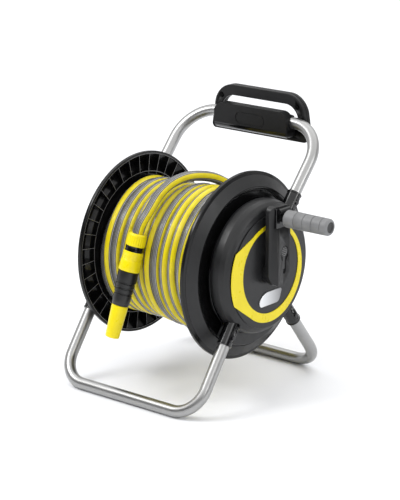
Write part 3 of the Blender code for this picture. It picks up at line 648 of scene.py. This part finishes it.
def hub_covers():
    skin = [(131, 109.0), (134.5, 110.8), (138, 111.8), (150, 111.4), (157.5, 108.2),
            (161.6, 103.2), (163.8, 99.5), (163.8, 5), (162, 5), (162, 98.6), (160.2, 101.6),
            (156.4, 106.2), (149.6, 109.0), (138.5, 109.4), (134, 108.6)]
    shell = moved(turned(rounded(skin, 0.9), 144), Matrix.Translation((0, 0, COVER_RISE)))
    right = piece("hub_cover_right_shown", shell, "cover", "frame",
                  ["hub_cover_right"], 40)
    cut(right, rod((155, 0, 0), (170, 0, 0), 15))
    skin = [(-131, 109.6), (-134.5, 111), (-144, 110.6), (-149, 107), (-156, 97.5),
            (-161.5, 88.5), (-163, 86), (-163, 15), (-161.2, 15), (-161.2, 84.8),
            (-154.6, 95.9), (-147.8, 105.2), (-143.6, 108), (-138.5, 108.4), (-134, 108.8)]
    left = piece("hub_cover_left_shown", turned(rounded(skin, 0.9), 144), "cover", "frame",
                 ["hub_cover_left"], 40)
    lip = rounded([(126.8, 108.8), (126.8, 129.0), (128.6, 131.0), (130.2, 129.6),
                   (132.0, 113.5), (132.0, 108.8)], 0.6)
    skirt = piece("hub_skirt_right", turned(lip, 144), "cover", "frame")
    between_legs = [(-20, 0), FRONT_BAR, REAR_BAR, (6, 0)]
    cut(skirt, prism(between_legs, 120, 140), "INTERSECT")
    for cover, side, inner in ((right, 1, 90), (left, -1, 78)):
        for leg in LEGS:
            start = leg_point(leg, reach(leg, inner), side)
            cut(cover, rod(start, leg_point(leg, 150, side), 12.5))


def snap_buttons():
    outline = rounded([(2.0, 0), (2.0, 5.6), (4.4, 5.6), (4.4, 3.9), (14.4, 3.9), (14.4, 0)], 0.9)
    for side in (1, -1):
        for leg in LEGS:
            at = leg_point(leg, button_distance(leg), side)
            name = f"{leg}_{hub_word(side)}"
            piece(f"snap_button_{name}_shown", moved(turned(outline, 28), along(at, (side, 0, 0))),
                  "gloss", f"button_{name}", [f"snap_button_{name}"])


# ---------------------------------------------------------------- carrying handle
def handle():
    plate = piece("handle_plate", prism(rounded_box(-78.7, 78.7, 179, 223.8, 5, 18), 152.8,
                                        171.5, "Y"), "black", "frame",
                  ["handle_front_shell"])
    cut(plate, prism(rounded_box(-31, 31, 192, 213, 10.4, 10.4), 150, 153.9, "Y"))
    y, z = PLATE_EDGE_AT
    corner = [(150, 176), (y, 176)] + arc((y, z), PLATE_EDGE_R, 270, 180, 12) + [(150, z)]
    cut(plate, prism(corner, -90, 90))
    soften(plate, 1.6, 4)
    panel = rounded_box(-29.8, 29.8, 193.2, 211.8, 9.2, 9.2)
    piece("handle_plate_panel", prism(panel, 153.3, 154.6, "Y"), "black", "frame")
    edge = (arc((y, z), PLATE_EDGE_R + 0.1, 180, 270, 16)
            + arc((y, z), PLATE_EDGE_R - 0.8, 270, 180, 16))
    piece("handle_plate_edge", prism(edge, -77, 77), "gloss", "frame")
    channel = ((-125, *CARRY_BAR), (125, *CARRY_BAR), TUBE_R + 0.2)
    cut(plate, rod(*channel))
    window = rounded_box(-84, 84, 196, 233, 4, 28)
    loop = (arc((95.5, 179), 8, -90, 9.0, 10) + arc((58, 211.5), 40, 9.0, 90, 18)
            + arc((-58, 211.5), 40, 90, 171.0, 18) + arc((-95.5, 179), 8, 171.0, 270, 10))
    for name, low, high, node in (("handle_loop_front", 178, 185.5, "handle_rear_shell"),
                                  ("handle_loop_back", 185.8, 194, "handle_back_cover")):
        half = piece(name, prism(loop, low, high, "Y"), "black", "frame", [node])
        cut(half, prism(window, 150, 210, "Y"))
        soften(half, 1.8, 4)
        if node == "handle_rear_shell":
            cut(half, rod(*channel))
            for side in (-1, 1):
                cut(half, rod((side * 80, *CARRY_BAR), (side * 108, 167.9, 200.1), 11.1))
                x, z = side * LOOP_SCREW[0], LOOP_SCREW[1]
                cut(half, rod((x, 170, z), (x, 181, z), 4.4))
        for x in (-PLATE_SCREW[0], PLATE_SCREW[0]):
            cut(half, rod((x, 177, PLATE_SCREW[1]), (x, 210, PLATE_SCREW[1]), 4.3))
    clamp = piece("handle_clamp", prism(rounded_box(-78.2, 78.2, 179.5, 217, 5, 6), 172, 178,
                                        "Y"), "black", "frame")
    soften(clamp, 1.0, 2)
    cut(clamp, rod(*channel))


# ---------------------------------------------------------------- drum
def ribbed_flange(side):
    """End plate of the drum with its radial ribs and two rings on the hose's side."""
    outline = [(108.5, 14.3), (119, 14.3), (119, 124), (122.2, 126.6), (125, 130.0),
               (125.2, 132.2), (115.4, 150.4), (114.2, FLANGE_R - 0.6), (113.6, FLANGE_R),
               (108.4, FLANGE_R), (107.6, 155.9), (107.6, 153.4), (108.4, 152.8), (111, 152.2),
               (121.6, 132.2), (116, 125.5), (116, 22), (108.5, 22)]
    shapes = [turned(mirrored(rounded(outline, 0.6, 3), side), 180)]
    for low, high, inner, outer in ((108.6, 117.5, 121.4, 122.8), (108.6, 113.0, 151.6, 153.4)):
        ring = [(low, inner), (low, outer), (high, outer), (high, inner)]
        shapes.append(turned(mirrored(ring, side), 144))
    section = [(108.3, 117), (108.3, 152.9), (112.6, 151.6), (123.2, 132.4), (117.5, 124.5),
               (117.5, 117)]
    ribs = bmesh.new()
    for k in range(FLANGE_RIBS):
        turn = Matrix.Rotation(math.tau * (k + RIB_PHASE) / FLANGE_RIBS, 4, "X")
        walls = [[ribs.verts.new(turn @ Vector((side * x, offset, r))) for x, r in section]
                 for offset in (-0.65, 0.65)]
        ribs.faces.new(walls[0])
        ribs.faces.new(reversed(walls[1]))
        for n in range(len(section)):
            m = (n + 1) % len(section)
            ribs.faces.new((walls[0][n], walls[1][n], walls[1][m], walls[0][m]))
    shapes.append(ribs)
    word = hub_word(side)
    piece(f"drum_flange_{word}_shown", gather(*shapes), "drum", "drum",
          [f"drum_flange_{word}"], 28)


def flange_edges(side):
    """Edges of a flange's ribs and of the rings that they run between, in a lighter grey as a
    painted highlight.
    """
    shapes = []
    mirror = Matrix.Diagonal((side, 1, 1, 1))
    for inner, outer in ((121.7, 122.5), (152.0, 153.0)):
        ring = [(108.2, inner), (108.2, outer), (108.7, outer), (108.7, inner)]
        shapes.append(turned(mirrored(ring, side), 144))
    for k in range(FLANGE_RIBS):
        strip = box((108.1, -0.42, 122.6), (108.4, 0.42, 152.2))
        turn = Matrix.Rotation(math.tau * (k + RIB_PHASE) / FLANGE_RIBS, 4, "X")
        shapes.append(moved(strip, turn @ mirror))
    # The lighter rib material is a painted highlight on these edges.
    piece(f"drum_flange_{hub_word(side)}_edges", gather(*shapes), "rib", "drum",
          (), 28)


def flange_skin():
    """Satin grey outer cone of each flange, a thin moulded ring on the black plate."""
    for side in (1, -1):
        ring = [(125.15, 133.0), (125.5, 133.2), (115.6, 150.9), (115.1, 150.6)]
        piece(f"flange_cone_{hub_word(side)}", turned(mirrored(ring, side), 180), "cover",
              "drum", (), 28)


# ---------------------------------------------------------------- crank
def crank_face():
    disc = [(164.1, 14.2), (164.1, 94.5), (165.5, 94.5), (165.5, 14.2)]
    piece("crank_face", turned(rounded(disc, 0.4), 144), "face", "drum",
          ["crank_disc"])
    outline = arc((2.7, -3.4), 82.9, -128, 123, 96) + arc((0, 0), 98.5, 151.5, 203.5, 24)
    ring = piece("face_ring_shown", prism(outline, 165.4, 166.6), "ring", "drum",
                 ["face_ring"])
    hole = moved(rod((160, 0, 0), (175, 0, 0), 72.0, 120), Matrix.Translation((0, 3.2, 1.2)))
    cut(ring, hole)
    soften(ring, 0.35, 2)
    badge = rounded([(-25, -57), (24, -57), (33, -34), (-13, -34), (-27, -46)], 7, 8)
    plate = piece("badge_shown", prism(badge, 165.3, 167.2), "badge", "drum",
                  ["badge_plate"])
    soften(plate, 0.6, 3)


def crank_arm():
    corner = 12.0
    outline = (arc((0, 0), ARM_HALF, 180, 360, 36)
               + arc((ARM_HALF - corner, ARM_TOP - corner), corner, 0, 90, 12)
               + arc((-ARM_HALF + corner, ARM_TOP - corner), corner, 90, 180, 12))
    arm = piece("crank_arm_shown", prism(outline, 173.6, 191.2), "cover", "drum",
                ["crank_arm"])
    bevel = [(191.3, -9.5), (192, -9.5), (192, -24), (180.5, -24), (180.5, -21.4)]
    swap_y_and_z = Matrix(((1, 0, 0, 0), (0, 0, 1, 0), (0, 1, 0, 0), (0, 0, 0, 1)))
    cut(arm, moved(prism(bevel, -30, 120, "Y"), swap_y_and_z))
    soften(arm, 1.6, 4)
    for low, high, radius in ((SLIDER_Z - SLIDER_TRAVEL, SLIDER_Z, 10.2),
                              (9.5 - SLIDER_TRAVEL, SLIDER_Z, 4.4)):
        cut(arm, prism(obround(SLIDER_Y, low, high, radius), 188.4, 196))
    cut(arm, box((186.8, -15.8, 78), (196, 15.8, 112)))
    boss = rounded([(165.7, 14.1), (165.7, 19.5), (175, 19.5), (175, 14.1)], 0.8)
    piece("crank_boss", turned(boss, 64), "cover", "drum")


def slider():
    head = piece("arm_slider_shown", prism(obround(SLIDER_Y, SLIDER_Z - 0.01, SLIDER_Z, 8.8),
                                           186, 190.0), "gloss", "slider",
                 ["arm_slider"])
    soften(head, 0.8, 3)
    stem = piece("arm_slider_stem", prism(obround(SLIDER_Y, 9.5, SLIDER_Z, 3.4), 186, 189.6),
                 "gloss", "slider")
    soften(stem, 0.6, 2)
    # Ridges of the slider head in the lighter rib material, a painted highlight.
    for k in range(-2, 3):
        half = math.sqrt(7.2 ** 2 - (3.0 * k) ** 2)
        z = SLIDER_Z + 3.0 * k
        rib = piece(f"arm_slider_rib_{k + 3}", box((189.6, SLIDER_Y - half, z - 0.6),
                                                   (190.9, SLIDER_Y + half, z + 0.6)),
                    "rib", "slider")
        soften(rib, 0.45, 2)


def fold_bracket():
    base = piece("fold_bracket_shown", box((187.1, -15.5, 78.3), (191.4, 15.5, 111.7)), "gloss",
                 "drum", ["fold_bracket"])
    soften(base, 0.8, 3)
    tongue = arc((FOLD_X, CRANK_RADIUS), 6, -90, 90, 20)
    tongue += [(189, CRANK_RADIUS + 6), (189, CRANK_RADIUS - 6)]
    knuckle = piece("fold_knuckle", prism(tongue, -4.7, 4.7, "Y"), "gloss", "drum")
    soften(knuckle, 0.5, 2)
    ledge = piece("fold_stop", prism(rounded_box(189, 198.4, 103.2, 111.7, 1, 5, 8), -13.5, 13.5,
                                     "Y"), "gloss", "drum")
    soften(ledge, 0.9, 3)


def grip_radius(x):
    """The grip narrows slightly towards its free end."""
    return 14.6 - 0.7 * (x - 202) / 80


def grip():
    level = Matrix.Translation((0, 0, CRANK_RADIUS))
    shell = rounded([(199, 0), (199, 10), (202.5, 14.3), (222, grip_radius(222)), (222, 0)], 0.8)
    collar = piece("grip_collar_shown", moved(turned(shell, 64), level), "grip", "grip_hinge",
                   ["grip_collar"])
    cut(collar, box((190, -5, CRANK_RADIUS - 20), (213, 5, CRANK_RADIUS + 7.2)))
    skin = [(222.4, 4.4), (222.4, grip_radius(222) - 0.5), (223.0, grip_radius(223))]
    for x in (240, 257, 274):
        r = grip_radius(x)
        skin += [(x - 0.8, r), (x - 0.5, r - 0.8), (x + 0.5, r - 0.8), (x + 0.8, r)]
    skin += [(282.5, 13.9)] + [(282.5 + 4.4 * math.sin(math.radians(a)),
                                9.5 + 4.4 * math.cos(math.radians(a)))
                               for a in range(15, 91, 15)]
    skin += [(286.9, 8.9), (279.2, 8.9), (279.2, 4.4)]
    piece("crank_grip_shown", moved(turned(skin, 64), level), "grip", "grip",
          ["crank_grip"], 50)
    cap = [(282.6, 0), (282.6, 8.7), (285.6, 8.7), (286.3, 8.0), (286.3, 5.4), (285.7, 5.0),
           (285.7, 0)]
    piece("grip_cap_shown", moved(turned(cap, 48), level), "rubber", "grip",
          ["grip_end_cap"])


# ---------------------------------------------------------------- hose
def polar(x, degrees, radius):
    turn = math.radians(degrees)
    return Vector((x, -radius * math.sin(turn), radius * math.cos(turn)))


def smoothstep(value, low, high):
    t = min(1.0, max(0.0, (value - low) / (high - low)))
    return t * t * (3 - 2 * t)


def winding(step=4):
    """Centreline of the wound turns as (x, degrees, radius), layer upon layer.

    Each turn lies square to the axle and steps to the next place over the back and the top.
    The last turn of a layer climbs onto the next one.
    """
    line = []
    for layer, (radius, turns, first, last) in enumerate(LAYERS):
        pitch = (last - first) / (turns - 1)
        top_layer = layer == len(LAYERS) - 1
        for k in range(360 * turns // step):
            whole, here = divmod(k * step, 360)
            if whole < turns - 1:
                place, rise = whole + smoothstep(here, 100, 250), 0.0
                wobble = 0.5 * math.sin(0.37 * math.radians(k * step) + layer)
            else:
                place, wobble = turns - 1, 0.0
                rise = 17.5 * smoothstep(here, 220, 350)
            x = first + place * pitch + wobble
            if top_layer:
                rise = 4.2 * smoothstep(x, -12, 12) * (1 - smoothstep(x, 60, 95))
            line.append((x, 180.0 + here, radius + rise))
    return line


def smooth(points, spacing):
    """Evenly spaced points on a smooth curve through the given points."""
    ends = [2 * points[0] - points[1]] + points + [2 * points[-1] - points[-2]]
    fine = []
    for a, b, c, d in zip(ends, ends[1:], ends[2:], ends[3:]):
        for k in range(24):
            t = k / 24
            fine.append(0.5 * (2 * b + (c - a) * t + (2 * a - 5 * b + 4 * c - d) * t ** 2
                               + (3 * b - a - 3 * c + d) * t ** 3))
    fine.append(points[-1])
    total = sum((b - a).length for a, b in zip(fine, fine[1:]))
    count = max(2, round(total / spacing))
    kept, run, goal = [fine[0]], 0.0, total / count
    for a, b in zip(fine, fine[1:]):
        run += (b - a).length
        if run >= goal * len(kept) and len(kept) < count:
            kept.append(b)
    return kept + [fine[-1]]


def hose_line():
    """Whole centreline of the hose: the wound turns, the climb, the free end and the nut."""
    turns = [polar(*point) for point in winding()]
    climb = [polar(107, 190, 107.7), polar(106, 204, 111), polar(103, 218, 118.5)]
    tail = [polar(x, degrees, radius) for x, degrees, radius in TAIL_ROUTE]
    inner = [NOZZLE_TOP - 12 * NOZZLE_AXIS, NOZZLE_TOP + 14 * NOZZLE_AXIS]
    return turns + smooth(turns[-1:] + climb + tail + inner, 5.0)[1:]


def hose():
    path = hose_line()
    sides = 24
    lengths = [0.0]
    for before, here in zip(path, path[1:]):
        lengths.append(lengths[-1] + (here - before).length)
    shape = bmesh.new()
    layer = shape.loops.layers.uv.new("UVMap")
    rings = []
    for k, point in enumerate(path):
        course = (path[min(k + 1, len(path) - 1)] - path[max(k - 1, 0)]).normalized()
        out = Vector((0, point.y, point.z)).normalized()
        out = (out - course * out.dot(course)).normalized()
        side = course.cross(out)
        turns = [math.tau * n / sides for n in range(sides)]
        rings.append([shape.verts.new(point + HOSE_R * (math.cos(t) * out + math.sin(t) * side))
                      for t in turns])
    for k in range(len(rings) - 1):
        for n in range(sides):
            m = (n + 1) % sides
            face = shape.faces.new((rings[k][n], rings[k][m], rings[k + 1][m], rings[k + 1][n]))
            for loop, (row, column) in zip(face.loops, ((k, n), (k, n + 1), (k + 1, n + 1),
                                                        (k + 1, n))):
                twist = stripe_twist(lengths[row], lengths[-1])
                loop[layer].uv = (column / sides + twist, lengths[row] * MM)
    for ring in (rings[0], rings[-1]):
        shape.faces.new(ring)
    made = piece("hose", shape, "hose", "drum", ["hose_winding", "hose_tail"], 60)
    return made, [TO_ROW @ point for point in path]


def stripe_twist(length, total):
    """Slow turning of the hose about its own line, as a share of a turn."""
    free = smoothstep(length, total - 700, total - 430)
    wander = 0.06 * math.sin(length / 270) + 0.04 * math.sin(length / 143)
    return 0.13 + wander * (1 - free) + 0.085 * free


# ---------------------------------------------------------------- nozzle
def nozzle_piece(name, shape, shade, body, node):
    place = along(NOZZLE_TOP, NOZZLE_AXIS)
    return piece(name, moved(shape, place), shade, body, [node])


def fluted(outline, flutes, depth, start, end):
    """Turned shape whose outer wall has lengthwise flutes between two places."""
    shape = turned(outline, 144)
    for vert in shape.verts:
        radius = math.hypot(vert.co.y, vert.co.z)
        if start <= vert.co.x <= end and radius > 12:
            turn = math.atan2(vert.co.z, vert.co.y)
            less = depth * (0.5 + 0.5 * math.cos(flutes * turn)) ** 2
            vert.co.y *= (radius - less) / radius
            vert.co.z *= (radius - less) / radius
    return shape


def nozzle():
    nut = [(0.3, 9.3), (0.3, 12.6), (1.2, 14.0), (3.0, 15.0), (4.0, 15.4), (8, 15.7), (12, 15.9),
           (16, 16.0), (19.4, 16.0), (20.6, 15.7), (21.1, 15.0), (21.1, 9.3)]
    pieces = [nozzle_piece("hose_nut", fluted(nut, 24, 0.55, 3.5, 19.6), "yellow", "drum",
                           "connector_nut")]
    band = [(12.5, 5.2), (12.5, 8.7), (21.6, 8.7), (21.6, 14.4), (22, 14.6), (29.5, 14.6),
            (29.8, 14.3), (29.8, 12.4), (62, 12.4), (62, 8.6), (46, 8.6), (46, 5.2)]
    pieces.append(nozzle_piece("connector_band", turned(band, 64), "gloss", "drum",
                               "connector_body"))
    collar = [(30.2, 15.0), (30.2, 16.2), (30.8, 16.7)]
    for k in range(5):
        x = 33.0 + 2.4 * k
        collar += [(x, 17.0), (x + 0.5, 16.7), (x + 1.0, 16.7), (x + 1.5, 17.05)]
    collar += [(48, 17.5), (56, 18.0), (60, 18.0), (62.4, 17.5), (63.3, 16.6), (63.3, 12.8),
               (44, 12.8), (44, 15.0)]
    pieces.append(nozzle_piece("release_collar", turned(collar, 72), "yellow", "collar",
                               "connector_collar"))
    body = [(46.6, 4.2), (46.6, 8.2), (63.8, 8.2), (63.8, 15.9), (64.6, 16.7), (70, 16.8),
            (76, 16.7)]
    for k in range(3):
        x = 82.0 + 9.0 * k
        r = 16.5 - 0.055 * (x - 76)
        body += [(x, r), (x + 0.8, r - 1.1), (x + 2.4, r - 1.1), (x + 3.2, r - 0.1)]
    body += [(112, 14.9), (119.6, 14.3), (121.3, 13.6), (121.6, 9.4), (136, 9.4), (136, 4.2)]
    pieces.append(nozzle_piece("nozzle_grip", turned(body, 72), "rubber", "drum",
                               "nozzle_body"))
    tip = [(122, 9.8), (122, 13.0), (122.8, 13.7), (126, 13.7), (150, 12.8), (174.6, 11.8),
           (176.3, 11.4), (176.9, 10.6), (176.9, 9.0), (172, 8.4), (171, 4.6), (136.6, 4.6),
           (136.6, 9.8)]
    pieces.append(nozzle_piece("nozzle_tip_shown", turned(tip, 72), "yellow", "tip",
                               "nozzle_tip"))
    return pieces


def inlet():
    cap = rounded([(-164.6, 14.15), (-164.6, 19), (-184, 19), (-187.6, 15.5), (-188, 0),
                   (-181, 0), (-181, 14.15)], 1.0)
    stub = [(14.6, 5.2), (14.6, 10.5), (35, 10.5), (36.5, 9.0), (38, 8.2)]
    for k in range(4):
        x = 39.0 + 2.6 * k
        stub += [(x, 8.2), (x + 0.8, 9.2), (x + 1.3, 9.2), (x + 2.1, 8.2)]
    stub += [(51, 7.2), (54, 7.2), (55, 8.2), (60.6, 8.2), (61, 7.8), (61, 5.2)]
    nipple = moved(turned(stub, 48), along((-174.9, 0, 0), (0, 0, -1)))
    piece("inlet_shown", gather(turned(cap, 64), nipple), "black", "inlet",
          ["inlet_swivel"])


# ---------------------------------------------------------------- CAD pieces that stay
def dress_cad():
    shades = {
        "bearing_bush_right": "bush", "bearing_bush_left": "bush", "drum_core": "drum",
        "crank_shaft": "steel", "shaft_retainer": "steel", "water_spindle": "black",
        "inlet_o_ring": "rubber", "outlet_elbow": "black", "arm_back_cover": "cover",
        "grip_spindle": "steel", "fold_pin": "steel",
    }
    for name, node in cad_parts.items():
        if name.startswith(("cover_screw", "plate_screw")):
            shades[name] = "steel"
        # Loop screws get the near-black metal: dark screws plus painted shade in their holes.
        if name.startswith("loop_screw"):
            shades[name] = "dark_steel_and_hole_shade"
        if name in shades:
            node.data.materials.clear()
            node.data.materials.append(SHADES[shades[name]])
            node.data.shade_smooth()
            node.data.set_sharp_from_angle(angle=math.radians(35))


make_materials()
camera()
studio()
floor()
frame_tubes()
hub_frames()
hub_covers()
snap_buttons()
handle()
for side in (1, -1):
    ribbed_flange(side)
    flange_edges(side)
flange_skin()
crank_face()
crank_arm()
slider()
fold_bracket()
grip()
fittings = nozzle()
hose_piece, hose_path = hose()
inlet()
dress_cad()
